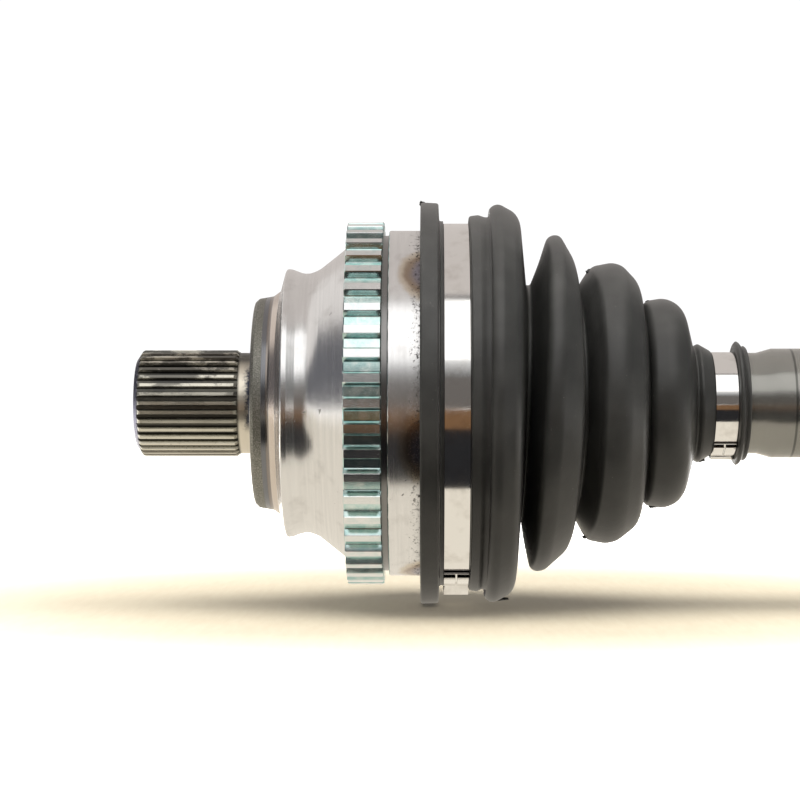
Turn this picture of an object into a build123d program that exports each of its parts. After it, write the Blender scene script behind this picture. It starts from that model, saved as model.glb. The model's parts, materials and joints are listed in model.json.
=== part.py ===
from build123d import *
import math
import os

# A front-wheel drive axle: a fixed ball joint with a splined stub at the wheel end, a welded tubular shaft,
# and a plunging ball joint with a bolting flange at the gearbox end, each joint under its rubber boot.
# Millimetres. The axis of the axle is X, the wheel is towards -X and the gearbox towards +X, and +Z is up.
# The origin is the centre of the collar face that clamps the wheel bearing.

# ---- driving dimensions ----
FIT = 0.05                    # running gap of the ground faces in both joints
SEAT_GAP = 0.05               # gap between a rubber part or a band and what it sits on

# splined stub and collar
STUB_END_X = -34.0
SPLINE_TEETH = 36
SPLINE_TIP_R = 15.15
SPLINE_ROOT_R = 14.0
SPLINE_LEFT_X = -32.2
SPLINE_RIGHT_X = -4.6
STUB_NECK_R = 14.4
HUB_BOLT_R = 7.25             # core of an M16 x 1.5 thread
HUB_BOLT_DEPTH = 26.0
COLLAR_R = 30.6

# bell of the outer joint
OUTER_X = 40.0                # centre of the outer joint
BELL_R = 49.2
RIDGE_R = 38.4
WAIST_R = 36.9
MOUTH_X = 63.0
CAVITY_R = 36.0
CAVITY_BACK_X = 12.5
BOOT_SEAT_R = 47.4
BOOT_SEAT_LEFT_X = 52.5
BOOT_SEAT_RIGHT_X = 61.4

# toothed ring for the wheel speed sensor
RING_TEETH = 48
RING_LEFT_X = 26.3
RING_RIGHT_X = 36.5
RING_SEAT_R = 46.5
RING_ROOT_R = 49.7
RING_TIP_R = 51.7
RING_LAND = 2.2               # tooth width at its tip
RING_GAP = 2.35               # floor of the gap between two teeth

# running gear of the outer joint
OUTER_BALL_R = 9.525
OUTER_BALL_CIRCLE_R = 32.0
OUTER_CAGE_R = CAVITY_R - 2 * FIT
OUTER_CAGE_BORE_R = 30.0
OUTER_CAGE_HALF = 14.5
OUTER_RACE_R = OUTER_CAGE_BORE_R - 2 * FIT
OUTER_RACE_HALF = 13.0
OUTER_BELL_GROOVE_R = OUTER_BALL_R + 0.75
OUTER_RACE_GROOVE_R = OUTER_BALL_R + 1.95

# shaft
SHAFT_SPLINE_TEETH = 28
OUTER_SPLINE_TIP_R = 13.6
OUTER_SPLINE_ROOT_R = 12.6
OUTER_NECK_R = 12.9
SHAFT_STEP_R = 14.4
TUBE_R = 15.6
TUBE_WALL = 3.6
TUBE_LEFT_X = 151.9
TUBE_RIGHT_X = 366.0

# inner joint
INNER_X = 490.0               # centre of the inner joint at mid plunge
INNER_BALL_R = 7.94
INNER_BALL_CIRCLE_R = 25.0
CUP_BORE_R = 29.0
CUP_R = 38.0
CUP_MOUTH_X = INNER_X - 37.0
CUP_BOTTOM_X = INNER_X + 37.0
INNER_CAGE_R = CUP_BORE_R - 2 * FIT
INNER_CAGE_BORE_R = 23.0
INNER_CAGE_HALF = 12.0
INNER_RACE_R = INNER_CAGE_BORE_R - 2 * FIT
INNER_RACE_HALF = 11.0
INNER_CUP_GROOVE_R = INNER_BALL_R + 0.2
INNER_RACE_GROOVE_R = INNER_BALL_R + 0.85
INNER_SPLINE_TIP_R = 12.4
INNER_SPLINE_ROOT_R = 11.5
INNER_NECK_R = 10.9

# gearbox flange
FLANGE_R = 54.0
FLANGE_THICK = 10.0
FLANGE_FACE_X = CUP_BOTTOM_X + FLANGE_THICK
FLANGE_RECESS_R = 30.0
FLANGE_RECESS_DEEP = 3.0
BOLT_CIRCLE_R = 47.0
BOLT_HOLE_R = 5.25
BOLTS = 6

BALLS = 6
TOP_ANGLE = 90.0              # the first ball stands straight up


# ---- helpers ----
def turned(*corners):
    """Body of revolution about X. A corner is (x, radius), or (x, radius, fillet) where it is rounded."""
    points = [(corner[0], corner[1]) for corner in corners]
    fillets = [corner[2] if len(corner) > 2 else 0 for corner in corners]
    outline = FilletPolyline(*points, radius=fillets, close=True)
    return revolve(make_face(outline), Axis.X)


def slab(left_x, right_x, half=200.0):
    """Block that holds everything between two planes square to the axis."""
    block = Box(right_x - left_x, 2 * half, 2 * half)
    return Pos((left_x + right_x) / 2, 0, 0) * block


def disc(left_x, right_x, radius):
    """Plain cylinder along X."""
    rod = Rot(0, 90, 0) * Cylinder(radius, right_x - left_x)
    return Pos((left_x + right_x) / 2, 0, 0) * rod


def toothed_bar(left_x, right_x, teeth, root_r, tip_r, root_share, tip_share):
    """Bar along X with straight-sided teeth; the shares are those of one pitch in a gap floor and a land."""
    pitch = 2 * math.pi / teeth
    corners = []
    for tooth in range(teeth):
        middle = math.pi / 2 + tooth * pitch
        for offset, radius in (
            (-0.5 * tip_share, tip_r),
            (0.5 * tip_share, tip_r),
            (0.5 - 0.5 * root_share, root_r),
            (0.5 + 0.5 * root_share, root_r),
        ):
            angle = middle + offset * pitch
            corners.append((radius * math.cos(angle), radius * math.sin(angle)))
    section = make_face(Polyline(*corners, close=True))
    bar = extrude(section, right_x - left_x)
    return Pos(left_x, 0, 0) * Rot(0, 90, 0) * bar


def ball_angles():
    """Places of the balls about the axis, in degrees from +Y towards +Z."""
    return [TOP_ANGLE + index * 360.0 / BALLS for index in range(BALLS)]


def ball(centre_x, circle_r, radius, angle):
    """One ball at its angle about the axis."""
    turn = math.radians(angle)
    place = Pos(centre_x, circle_r * math.cos(turn), circle_r * math.sin(turn))
    return place * Sphere(radius)


def curved_grooves(centre_x, circle_r, groove_r, left_x, right_x):
    """Six ball tracks that bend round the joint centre: three rings, each cutting two opposite tracks."""
    rings = []
    for angle in ball_angles()[: BALLS // 2]:
        ring = Pos(centre_x, 0, 0) * Rot(angle, 0, 0) * Torus(circle_r, groove_r)
        rings.append(ring & slab(left_x, right_x))
    return rings


def straight_grooves(circle_r, groove_r, left_x, right_x):
    """Six straight ball tracks along the axis."""
    rods = []
    for angle in ball_angles():
        turn = math.radians(angle)
        place = Pos(0, circle_r * math.cos(turn), circle_r * math.sin(turn))
        rods.append(place * disc(left_x, right_x, groove_r))
    return rods


def spherical_ring(centre_x, outer_r, half_width):
    """Ball with its two ends cut off square to the axis."""
    return Pos(centre_x, 0, 0) * Sphere(outer_r) & slab(centre_x - half_width, centre_x + half_width)


def cage(centre_x, outer_r, bore_r, half_width, circle_r, ball_r, spare):
    """Spherical ring with a window for each ball, close along the axis and spare longer round it."""
    ring = spherical_ring(centre_x, outer_r, half_width)
    ring -= Pos(centre_x, 0, 0) * Sphere(bore_r)
    for angle in ball_angles():
        window = Box(2 * ball_r + FIT, 2 * ball_r + spare, 2 * (outer_r - bore_r) + 4)
        window = Pos(0, 0, (outer_r + bore_r) / 2) * window
        ring -= Pos(centre_x, 0, 0) * Rot(angle - 90, 0, 0) * window
    return ring


def snap_ring(middle_x, thick, inner_r, outer_r, gap):
    """Flat spring ring, open at the top by a gap."""
    ring = disc(middle_x - thick / 2, middle_x + thick / 2, outer_r)
    ring -= disc(middle_x - thick, middle_x + thick, inner_r)
    return ring - Pos(middle_x, 0, outer_r) * Box(4 * thick, gap, 2 * outer_r - inner_r)


def band_clamp(left_x, right_x, seat_r, thick, ear_high, ear_long):
    """Steel band round a boot, with its crimped ear standing out underneath."""
    band = disc(left_x, right_x, seat_r + thick) - disc(left_x - 1, right_x + 1, seat_r)
    ear = Box(right_x - left_x - 1.6, ear_long, ear_high + thick)
    ear = fillet(ear.edges().filter_by(Axis.X), 0.35 * ear_high)
    return band + Pos((left_x + right_x) / 2, 0, -(seat_r + thick / 2 + ear_high / 2)) * ear


# ---- outer joint ----
def outer_joint_housing():
    """Forged and turned bell with the splined stub, in one piece."""
    blank = turned(
        (SPLINE_RIGHT_X, 0),
        (SPLINE_RIGHT_X, STUB_NECK_R),
        (0, STUB_NECK_R, 2.0),
        (0, 29.0),
        (1.0, 29.9),
        (5.0, COLLAR_R, 0.6),
        (7.2, 32.2, 1.2),
        (8.9, RIDGE_R, 0.7),
        (10.4, RIDGE_R - 0.2, 1.0),
        (14.4, WAIST_R - 0.2, 5.0),
        (18.0, 38.0, 8.0),
        (RING_LEFT_X, 44.6),
        (RING_LEFT_X, RING_SEAT_R),
        (RING_RIGHT_X, RING_SEAT_R),
        (RING_RIGHT_X, 47.8),
        (38.0, 47.8),
        (38.0, BELL_R, 0.5),
        (BOOT_SEAT_LEFT_X, BELL_R),
        (BOOT_SEAT_LEFT_X, BOOT_SEAT_R),
        (BOOT_SEAT_RIGHT_X, BOOT_SEAT_R),
        (BOOT_SEAT_RIGHT_X, 48.6),
        (MOUTH_X, 48.6, 0.5),
        (MOUTH_X, 44.0),
        (56.0, 0),
    )
    splines = toothed_bar(
        STUB_END_X, SPLINE_RIGHT_X, SPLINE_TEETH, SPLINE_ROOT_R, SPLINE_TIP_R + 0.1, 0.34, 0.3
    )
    splines &= turned(
        (STUB_END_X, 0),
        (STUB_END_X, 12.5, 0.8),
        (SPLINE_LEFT_X, SPLINE_TIP_R, 0.8),
        (SPLINE_RIGHT_X - 1.0, SPLINE_TIP_R),
        (SPLINE_RIGHT_X, STUB_NECK_R),
        (SPLINE_RIGHT_X, 0),
    )
    body = blank + splines
    body -= Pos(OUTER_X, 0, 0) * Sphere(CAVITY_R) & slab(CAVITY_BACK_X, MOUTH_X + 20)
    body -= turned((56.0, 0), (56.0, 31.5), (MOUTH_X, 44.0), (MOUTH_X + 1, 44.0), (MOUTH_X + 1, 0))
    body -= curved_grooves(OUTER_X, OUTER_BALL_CIRCLE_R, OUTER_BELL_GROOVE_R, OUTER_X - 19.5, MOUTH_X + 1)
    body -= disc(STUB_END_X - 1, STUB_END_X + HUB_BOLT_DEPTH, HUB_BOLT_R)
    body -= turned(
        (STUB_END_X - 1, 0),
        (STUB_END_X - 1, HUB_BOLT_R + 2.2),
        (STUB_END_X + 1.2, HUB_BOLT_R),
        (STUB_END_X + 1.2, 0),
    )
    return body


def abs_tone_ring():
    """Toothed steel ring pressed on the bell."""
    pitch = 2 * math.pi * RING_TIP_R / RING_TEETH
    ring = toothed_bar(
        RING_LEFT_X, RING_RIGHT_X, RING_TEETH, RING_ROOT_R, RING_TIP_R, RING_GAP / pitch, RING_LAND / pitch
    )
    return ring - disc(RING_LEFT_X - 1, RING_RIGHT_X + 1, RING_SEAT_R)


def inner_race(centre_x, outer_r, half_width, teeth, root_r, tip_r, grooves):
    """Ball hub of a joint: a spherical ring with six tracks and a splined bore."""
    hub = spherical_ring(centre_x, outer_r, half_width)
    hub -= grooves
    bore = toothed_bar(
        centre_x - half_width - 1, centre_x + half_width + 1, teeth, root_r + FIT, tip_r + FIT, 0.36, 0.36
    )
    return hub - bore


def outer_race():
    """Ball hub of the outer joint."""
    grooves = curved_grooves(
        OUTER_X,
        OUTER_BALL_CIRCLE_R,
        OUTER_RACE_GROOVE_R,
        OUTER_X - OUTER_RACE_HALF - 1,
        OUTER_X + OUTER_RACE_HALF + 1,
    )
    return inner_race(
        OUTER_X,
        OUTER_RACE_R,
        OUTER_RACE_HALF,
        SHAFT_SPLINE_TEETH,
        OUTER_SPLINE_ROOT_R,
        OUTER_SPLINE_TIP_R,
        grooves,
    )


OUTER_CLIP_X = OUTER_X - OUTER_RACE_HALF - 0.9
SPACER_X = OUTER_X + OUTER_RACE_HALF


def dished_washer():
    """Slightly conical spring washer that preloads the ball hub against its clip."""
    return turned(
        (SPACER_X + 0.02, 13.8), (SPACER_X + 0.02, 15.0), (SPACER_X + 1.6, 18.6),
        (SPACER_X + 2.6, 18.6), (SPACER_X + 1.2, 13.8)
    )


def spacer_ring():
    """Plastic ring between the dished washer and the step of the shaft."""
    return turned(
        (SPACER_X + 1.4, 13.8), (SPACER_X + 2.8, 18.0), (SPACER_X + 2.8, 18.6), (SPACER_X + 5.0, 18.6),
        (SPACER_X + 5.0, 13.8)
    )


def outer_boot():
    """Moulded rubber bellows, from the lip on the bell to its neck on the shaft."""
    return turned(
        (46.8, BELL_R + SEAT_GAP),
        (46.8, 57.2, 1.0),
        (51.8, 57.2, 0.8),
        (51.8, 51.7),
        (53.2, 51.7),
        (53.2, 50.4),
        (60.4, 50.4),
        (60.4, 53.6, 0.8),
        (64.0, 53.6, 0.8),
        (65.5, 56.5, 1.2),
        (71.5, 56.0, 2.5),
        (75.2, 52.5, 2.0),
        (77.0, 36.8, 1.5),
        (79.2, 37.4, 2.0),
        (83.2, 50.2, 2.6),
        (88.6, 32.0, 2.6),
        (91.4, 32.4, 2.6),
        (98.7, 42.6, 5.0),
        (107.5, 27.8, 2.5),
        (113.5, 30.4, 5.0),
        (120.5, 27.0, 2.5),
        (124.6, 16.8, 1.0),
        (127.6, 16.8, 0.5),
        (128.4, 14.0),
        (136.0, 14.0),
        (136.4, 17.2, 0.5),
        (139.3, 14.9),
        (139.3, SHAFT_STEP_R + SEAT_GAP),
        (137.4, SHAFT_STEP_R + SEAT_GAP),
        (137.4, 11.85),
        (125.0, 11.85),
        (121.8, 14.0, 1.0),
        (118.3, 24.2, 1.5),
        (113.2, 26.4, 3.0),
        (107.2, 24.4, 2.5),
        (98.7, 38.2, 3.5),
        (90.2, 28.2, 2.5),
        (83.4, 44.2, 1.0),
        (79.0, 33.6, 2.0),
        (73.6, 34.4, 2.0),
        (71.8, 48.5, 2.5),
        (66.8, 52.8, 1.5),
        (63.2, 48.6 + SEAT_GAP),
        (BOOT_SEAT_RIGHT_X - SEAT_GAP, 48.6 + SEAT_GAP),
        (BOOT_SEAT_RIGHT_X - SEAT_GAP, BOOT_SEAT_R + SEAT_GAP),
        (BOOT_SEAT_LEFT_X + SEAT_GAP, BOOT_SEAT_R + SEAT_GAP),
        (BOOT_SEAT_LEFT_X + SEAT_GAP, BELL_R + SEAT_GAP),
    )


# ---- shaft ----
def outboard_shaft_end():
    """Solid wheel-side end of the shaft: splined tip, neck, boot groove, step and the taper to the tube."""
    end = turned(
        (SPACER_X, 0),
        (SPACER_X, 13.7),
        (SPACER_X + 5.1, 13.7),
        (SPACER_X + 5.1, 14.6, 0.3),
        (SPACER_X + 9.0, 14.6, 0.5),
        (SPACER_X + 14.0, OUTER_NECK_R, 4.0),
        (118.0, OUTER_NECK_R, 1.0),
        (124.0, 11.8, 0.5),
        (137.5, 11.8),
        (137.5, SHAFT_STEP_R, 0.4),
        (142.5, SHAFT_STEP_R, 2.0),
        (146.7, TUBE_R, 2.0),
        (TUBE_LEFT_X, TUBE_R),
        (TUBE_LEFT_X, 0),
    )
    tip_x = OUTER_CLIP_X - 3.0
    end += toothed_bar(
        tip_x, SPACER_X, SHAFT_SPLINE_TEETH, OUTER_SPLINE_ROOT_R, OUTER_SPLINE_TIP_R, 0.4, 0.32
    ) & turned((tip_x, 0), (tip_x, 12.2), (tip_x + 1.6, 14.0), (SPACER_X, 14.0), (SPACER_X, 0))
    clip_groove = disc(OUTER_CLIP_X - 0.85, OUTER_CLIP_X + 0.85, 20)
    clip_groove -= disc(OUTER_CLIP_X - 2, OUTER_CLIP_X + 2, 11.9)
    return end - clip_groove


def shaft_tube():
    """Seamless tube, friction welded to the solid end on each side."""
    tube = disc(TUBE_LEFT_X, TUBE_RIGHT_X, TUBE_R)
    return tube - disc(TUBE_LEFT_X - 1, TUBE_RIGHT_X + 1, TUBE_R - TUBE_WALL)


INNER_CLIP_X = INNER_X + INNER_RACE_HALF + 0.9
INNER_STOP_X = INNER_X - INNER_RACE_HALF - 0.9
INNER_NECK_X = TUBE_RIGHT_X + 10.0
INNER_BOOT_SEAT_X = INNER_NECK_X + 2.0


def inboard_shaft_end():
    """Solid gearbox-side end of the shaft: taper from the tube, boot groove, neck and splined tip."""
    end = turned(
        (TUBE_RIGHT_X, 0),
        (TUBE_RIGHT_X, TUBE_R),
        (TUBE_RIGHT_X + 5.0, TUBE_R, 2.0),
        (TUBE_RIGHT_X + 8.5, SHAFT_STEP_R, 2.0),
        (INNER_NECK_X + 1.8, SHAFT_STEP_R, 0.4),
        (INNER_NECK_X + 1.8, 11.8),
        (INNER_NECK_X + 14.0, 11.8, 0.5),
        (INNER_NECK_X + 18.0, INNER_NECK_R + 1.0, 0.5),
        (INNER_STOP_X - 30.0, INNER_NECK_R + 1.0, 2.0),
        (INNER_STOP_X - 24.0, INNER_NECK_R, 2.0),
        (INNER_STOP_X - 4.0, INNER_NECK_R, 0.5),
        (INNER_STOP_X - 3.0, INNER_SPLINE_ROOT_R),
        (INNER_STOP_X - 3.0, 0),
    )
    tip_x = INNER_CLIP_X + 2.6
    splined = toothed_bar(
        INNER_STOP_X - 3.0, tip_x, SHAFT_SPLINE_TEETH, INNER_SPLINE_ROOT_R, INNER_SPLINE_TIP_R, 0.4, 0.32
    )
    left_x = INNER_STOP_X - 3.0
    splined &= turned(
        (left_x, 0),
        (left_x, 11.6),
        (left_x + 1.2, 13.0),
        (tip_x - 1.4, 13.0),
        (tip_x, 11.2),
        (tip_x, 0),
    )
    end += splined
    for groove_x in (INNER_STOP_X, INNER_CLIP_X):
        end -= disc(groove_x - 0.85, groove_x + 0.85, 20) - disc(groove_x - 2, groove_x + 2, 10.8)
    return end


# ---- inner joint ----
def inner_joint_cup():
    """Long cup with six straight ball tracks, and the flange that bolts to the gearbox, in one forging."""
    cup = turned(
        (CUP_MOUTH_X, 0),
        (CUP_MOUTH_X, 36.6, 0.6),
        (CUP_MOUTH_X + 2.4, 37.4, 0.4),
        (CUP_MOUTH_X + 2.4, 36.0),
        (CUP_MOUTH_X + 11.4, 36.0),
        (CUP_MOUTH_X + 11.4, CUP_R + 1.2, 0.6),
        (CUP_MOUTH_X + 15.0, CUP_R + 1.2, 1.5),
        (CUP_MOUTH_X + 18.0, CUP_R, 2.0),
        (CUP_BOTTOM_X, CUP_R, 3.0),
        (CUP_BOTTOM_X, FLANGE_R, 0.8),
        (FLANGE_FACE_X, FLANGE_R, 0.8),
        (FLANGE_FACE_X, FLANGE_RECESS_R),
        (FLANGE_FACE_X - FLANGE_RECESS_DEEP, FLANGE_RECESS_R, 1.0),
        (FLANGE_FACE_X - FLANGE_RECESS_DEEP, 0),
    )
    cup -= disc(CUP_MOUTH_X - 1, CUP_BOTTOM_X - 1, CUP_BORE_R)
    cup -= straight_grooves(INNER_BALL_CIRCLE_R, INNER_CUP_GROOVE_R, CUP_MOUTH_X - 1, CUP_BOTTOM_X - 4)
    cup -= disc(CUP_MOUTH_X + 1.2, CUP_MOUTH_X + 2.9, CUP_BORE_R + 1.6)
    for index in range(BOLTS):
        turn = math.radians(TOP_ANGLE + index * 360.0 / BOLTS)
        place = Pos(0, BOLT_CIRCLE_R * math.cos(turn), BOLT_CIRCLE_R * math.sin(turn))
        cup -= place * disc(CUP_BOTTOM_X - 4, FLANGE_FACE_X + 1, BOLT_HOLE_R)
    return cup


def inner_hub():
    """Ball hub of the inner joint."""
    grooves = straight_grooves(
        INNER_BALL_CIRCLE_R,
        INNER_RACE_GROOVE_R,
        INNER_X - INNER_RACE_HALF - 1,
        INNER_X + INNER_RACE_HALF + 1,
    )
    return inner_race(
        INNER_X,
        INNER_RACE_R,
        INNER_RACE_HALF,
        SHAFT_SPLINE_TEETH,
        INNER_SPLINE_ROOT_R,
        INNER_SPLINE_TIP_R,
        grooves,
    )


INNER_FOLDS = 5
INNER_FOLD_LEFT_X = INNER_BOOT_SEAT_X + 18.0
INNER_FOLD_RIGHT_X = CUP_MOUTH_X - 2.0


def inner_boot():
    """Moulded rubber bellows, from its neck on the shaft to its collar on the cup."""
    step = (INNER_FOLD_RIGHT_X - INNER_FOLD_LEFT_X) / INNER_FOLDS
    outside = [
        (INNER_BOOT_SEAT_X, SHAFT_STEP_R + 0.6),
        (INNER_BOOT_SEAT_X, 17.2, 0.5),
        (INNER_BOOT_SEAT_X + 2.6, 17.2, 0.5),
        (INNER_BOOT_SEAT_X + 2.6, 14.0),
        (INNER_BOOT_SEAT_X + 10.6, 14.0),
        (INNER_BOOT_SEAT_X + 10.6, 16.8, 0.6),
        (INNER_BOOT_SEAT_X + 14.0, 16.8, 1.5),
    ]
    inside = []
    for fold in range(INNER_FOLDS):
        share = fold / (INNER_FOLDS - 1)
        crest_r = 26.0 + 14.0 * share
        root_r = 18.6 + 12.0 * share
        crest_x = INNER_FOLD_LEFT_X + (fold + 0.35) * step
        root_x = INNER_FOLD_LEFT_X + (fold + 0.9) * step
        outside.append((crest_x, crest_r + 1.6, 2.4))
        outside.append((root_x, root_r, 1.6))
        inside.append((crest_x, crest_r - 1.6, 1.2))
        inside.append((root_x, root_r - 3.0, 1.8))
    outside += [
        (INNER_FOLD_RIGHT_X, 41.0, 1.5),
        (CUP_MOUTH_X + 2.6, 41.0, 0.8),
        (CUP_MOUTH_X + 2.6, 38.8),
        (CUP_MOUTH_X + 10.6, 38.8),
        (CUP_MOUTH_X + 10.6, 40.6),
        (CUP_MOUTH_X + 11.3, 40.6),
        (CUP_MOUTH_X + 11.3, 36.0 + SEAT_GAP),
        (CUP_MOUTH_X + 2.5, 36.0 + SEAT_GAP),
        (CUP_MOUTH_X + 2.5, 37.4 + SEAT_GAP),
        (CUP_MOUTH_X - 0.1, 37.4 + SEAT_GAP),
    ]
    ending = [
        (INNER_BOOT_SEAT_X + 14.5, 13.4, 1.0),
        (INNER_BOOT_SEAT_X + 12.0, 11.85),
        (INNER_BOOT_SEAT_X, 11.85),
    ]
    return turned(*outside, *reversed(inside), *ending)


# ---- all pieces ----
def all_pieces():
    """Each piece of the axle under its name."""
    pieces = {
        "outer_joint_housing": outer_joint_housing(),
        "abs_tone_ring": abs_tone_ring(),
        "outer_inner_race": outer_race(),
        "outer_cage": cage(
            OUTER_X,
            OUTER_CAGE_R,
            OUTER_CAGE_BORE_R,
            OUTER_CAGE_HALF,
            OUTER_BALL_CIRCLE_R,
            OUTER_BALL_R,
            3.0,
        ),
        "outer_race_circlip": snap_ring(OUTER_CLIP_X, 1.6, 12.0, 15.2, 6.0),
        "outer_dished_washer": dished_washer(),
        "outer_spacer_ring": spacer_ring(),
        "outer_boot": outer_boot(),
        "outer_boot_clamp_large": band_clamp(53.25, 60.35, 50.4, 0.8, 3.7, 9.0),
        "outer_boot_clamp_small": band_clamp(129.4, 135.9, 14.0, 0.7, 2.5, 6.0),
        "outboard_shaft_end": outboard_shaft_end(),
        "shaft_tube": shaft_tube(),
        "inboard_shaft_end": inboard_shaft_end(),
        "inner_joint_cup": inner_joint_cup(),
        "inner_cup_retaining_ring": snap_ring(CUP_MOUTH_X + 2.05, 1.5, 27.6, 30.5, 8.0),
        "inner_inner_race": inner_hub(),
        "inner_cage": cage(
            INNER_X,
            INNER_CAGE_R,
            INNER_CAGE_BORE_R,
            INNER_CAGE_HALF,
            INNER_BALL_CIRCLE_R,
            INNER_BALL_R,
            2.0,
        ),
        "inner_race_circlip": snap_ring(INNER_CLIP_X, 1.6, 10.9, 14.0, 5.0),
        "inner_race_stop_ring": snap_ring(INNER_STOP_X, 1.6, 10.9, 14.0, 5.0),
        "inner_boot": inner_boot(),
        "inner_boot_clamp_large": band_clamp(CUP_MOUTH_X + 2.9, CUP_MOUTH_X + 10.3, 38.8, 0.8, 3.4, 9.0),
        "inner_boot_clamp_small": band_clamp(
            INNER_BOOT_SEAT_X + 3.0, INNER_BOOT_SEAT_X + 10.2, 14.0, 0.7, 2.5, 6.0
        ),
    }
    for number, angle in enumerate(ball_angles(), start=1):
        pieces[f"outer_ball_{number}"] = ball(OUTER_X, OUTER_BALL_CIRCLE_R, OUTER_BALL_R, angle)
        pieces[f"inner_ball_{number}"] = ball(INNER_X, INNER_BALL_CIRCLE_R, INNER_BALL_R, angle)
    return pieces


os.makedirs("parts", exist_ok=True)
for name, piece in all_pieces().items():
    export_step(piece, f"parts/{name}.step")
    print(name, "volume", round(piece.volume))
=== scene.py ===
# %% [markdown]
# # A drive axle, dressed in Blender
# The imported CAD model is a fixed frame: it holds every rigid part at its real place and size. This lesson
# adds what CAD leaves plain. It makes the two rubber boots, their steel clamps and the toothed ring as new
# meshes, gives every part a finish made of nodes, and sets up the camera and the light.

# %% Load the frame
import json
import math
import bmesh
import bpy
import numpy as np
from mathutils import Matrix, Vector


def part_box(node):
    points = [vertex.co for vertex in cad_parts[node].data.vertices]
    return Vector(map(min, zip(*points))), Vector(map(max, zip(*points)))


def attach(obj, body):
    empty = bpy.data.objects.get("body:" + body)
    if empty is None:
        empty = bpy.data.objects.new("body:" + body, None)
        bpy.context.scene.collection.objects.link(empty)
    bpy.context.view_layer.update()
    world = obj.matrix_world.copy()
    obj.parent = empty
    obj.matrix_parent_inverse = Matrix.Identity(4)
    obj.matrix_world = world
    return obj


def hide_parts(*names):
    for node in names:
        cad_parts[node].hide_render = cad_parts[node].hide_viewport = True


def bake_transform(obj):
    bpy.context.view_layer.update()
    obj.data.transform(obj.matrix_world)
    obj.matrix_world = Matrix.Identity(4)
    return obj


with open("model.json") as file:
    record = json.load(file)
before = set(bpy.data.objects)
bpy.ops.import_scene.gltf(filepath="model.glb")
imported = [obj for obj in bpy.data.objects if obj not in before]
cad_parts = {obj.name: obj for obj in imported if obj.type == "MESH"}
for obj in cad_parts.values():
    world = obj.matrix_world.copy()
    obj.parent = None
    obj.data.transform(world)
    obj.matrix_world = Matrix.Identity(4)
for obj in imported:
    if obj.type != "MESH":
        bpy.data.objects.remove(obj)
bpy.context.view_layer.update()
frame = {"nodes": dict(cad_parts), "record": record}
nodes = frame["nodes"]
print("parts in the frame:", len(nodes))

# %% [markdown]
# Lengths below are thought of in millimetres, because that is how such a part is drawn. The axle lies along
# X, the wheel end is towards -X, and the angle about the axle is counted from the side that faces the
# camera, upwards.

# %% Units
MM = 0.001
TURN = 2 * math.pi


def low_x(node):
    """Left end of a CAD part along the axle, in millimetres."""
    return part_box(node)[0].x / MM


def high_x(node):
    """Right end of a CAD part along the axle, in millimetres."""
    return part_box(node)[1].x / MM


# %% [markdown]
# ## The camera
# A long lens from the side keeps the rings nearly edge-on, as in a catalogue picture. It looks at the
# middle of the wheel-end joint, a little from the right of it.

# %% Camera
EYE = Vector((0.0495, -0.636, 0.0009))
TARGET = Vector((0.0409, 0.0, 0.0009))
LENS_MM = 100
SENSOR_MM = 36
camera = bpy.data.objects.new("camera", bpy.data.cameras.new("camera"))
camera.data.lens = LENS_MM
camera.data.sensor_width = SENSOR_MM
camera.data.clip_start = 0.01
camera.location = EYE
camera.rotation_euler = (TARGET - EYE).to_track_quat("-Z", "Y").to_euler()
bpy.context.scene.collection.objects.link(camera)
bpy.context.scene.camera = camera
print("camera looks", (TARGET - EYE).length, "m away")

# %% [markdown]
# ## Profiles made of arcs
# Nearly everything here is turned or moulded round one axis, so a shape is a profile carried round a
# circle. The profile is drawn as a belt round pulleys: each pulley is a small circle that the belt passes
# over, for a crest, or under, for a valley, and the straight runs between them are the circles' common
# tangents. That gives round, tangent-smooth folds from very few numbers.


# %% Pulleys
def crest(x, top, radius):
    """Pulley that the belt passes over: (centre x, centre r, signed radius), its top at r = top."""
    return (x, top - radius, radius)


def valley(x, bottom, radius):
    """Pulley that the belt passes under: (centre x, centre r, signed radius), its foot at r = bottom."""
    return (x, bottom + radius, -radius)


def corner(x, r):
    """Sharp corner."""
    return (x, r, 0.0)


# %% The belt
ARC_STEP = math.radians(4)


def belt(pulleys, step=0.45):
    """Points of the belt. Between circles with centres c and signed radii s, the left normal n of the tangent
    obeys n . (c2 - c1) = s1 - s2, and it touches each circle at c + s n. Arcs and runs are cut in steps."""
    pulleys = np.asarray(pulleys, float)
    centres = pulleys[:, :2]
    signed = pulleys[:, 2]
    gap = np.diff(centres, axis=0)
    length = np.linalg.norm(gap, axis=1)
    ahead = gap / length[:, None]
    left = np.stack([-ahead[:, 1], ahead[:, 0]], axis=1)
    share = np.clip((signed[:-1] - signed[1:]) / length, -0.999, 0.999)
    normal = ahead * share[:, None] + left * np.sqrt(1 - share**2)[:, None]
    pieces = []
    for index in range(len(pulleys)):
        arrive = normal[max(index - 1, 0)]
        leave = normal[min(index, len(normal) - 1)]
        start = math.atan2(arrive[1], arrive[0])
        sweep = (math.atan2(leave[1], leave[0]) - start + math.pi) % TURN - math.pi
        count = max(int(abs(sweep * signed[index]) / (0.6 * step)), int(abs(sweep) / ARC_STEP), 4)
        count = count if signed[index] else 1
        angle = start + sweep * np.linspace(0, 1, count)
        around = np.stack([np.cos(angle), np.sin(angle)], axis=1)
        pieces.append(centres[index] + signed[index] * around)
    return dense(np.concatenate(pieces), step)


def dense(points, step):
    """The same broken line, with its long runs cut in equal steps."""
    runs = []
    for start, end in zip(points[:-1], points[1:]):
        count = max(int(np.linalg.norm(end - start) / step), 1)
        runs.append(start + (end - start) * np.linspace(0, 1, count, endpoint=False)[:, None])
    return np.concatenate(runs + [points[-1:]])


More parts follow.
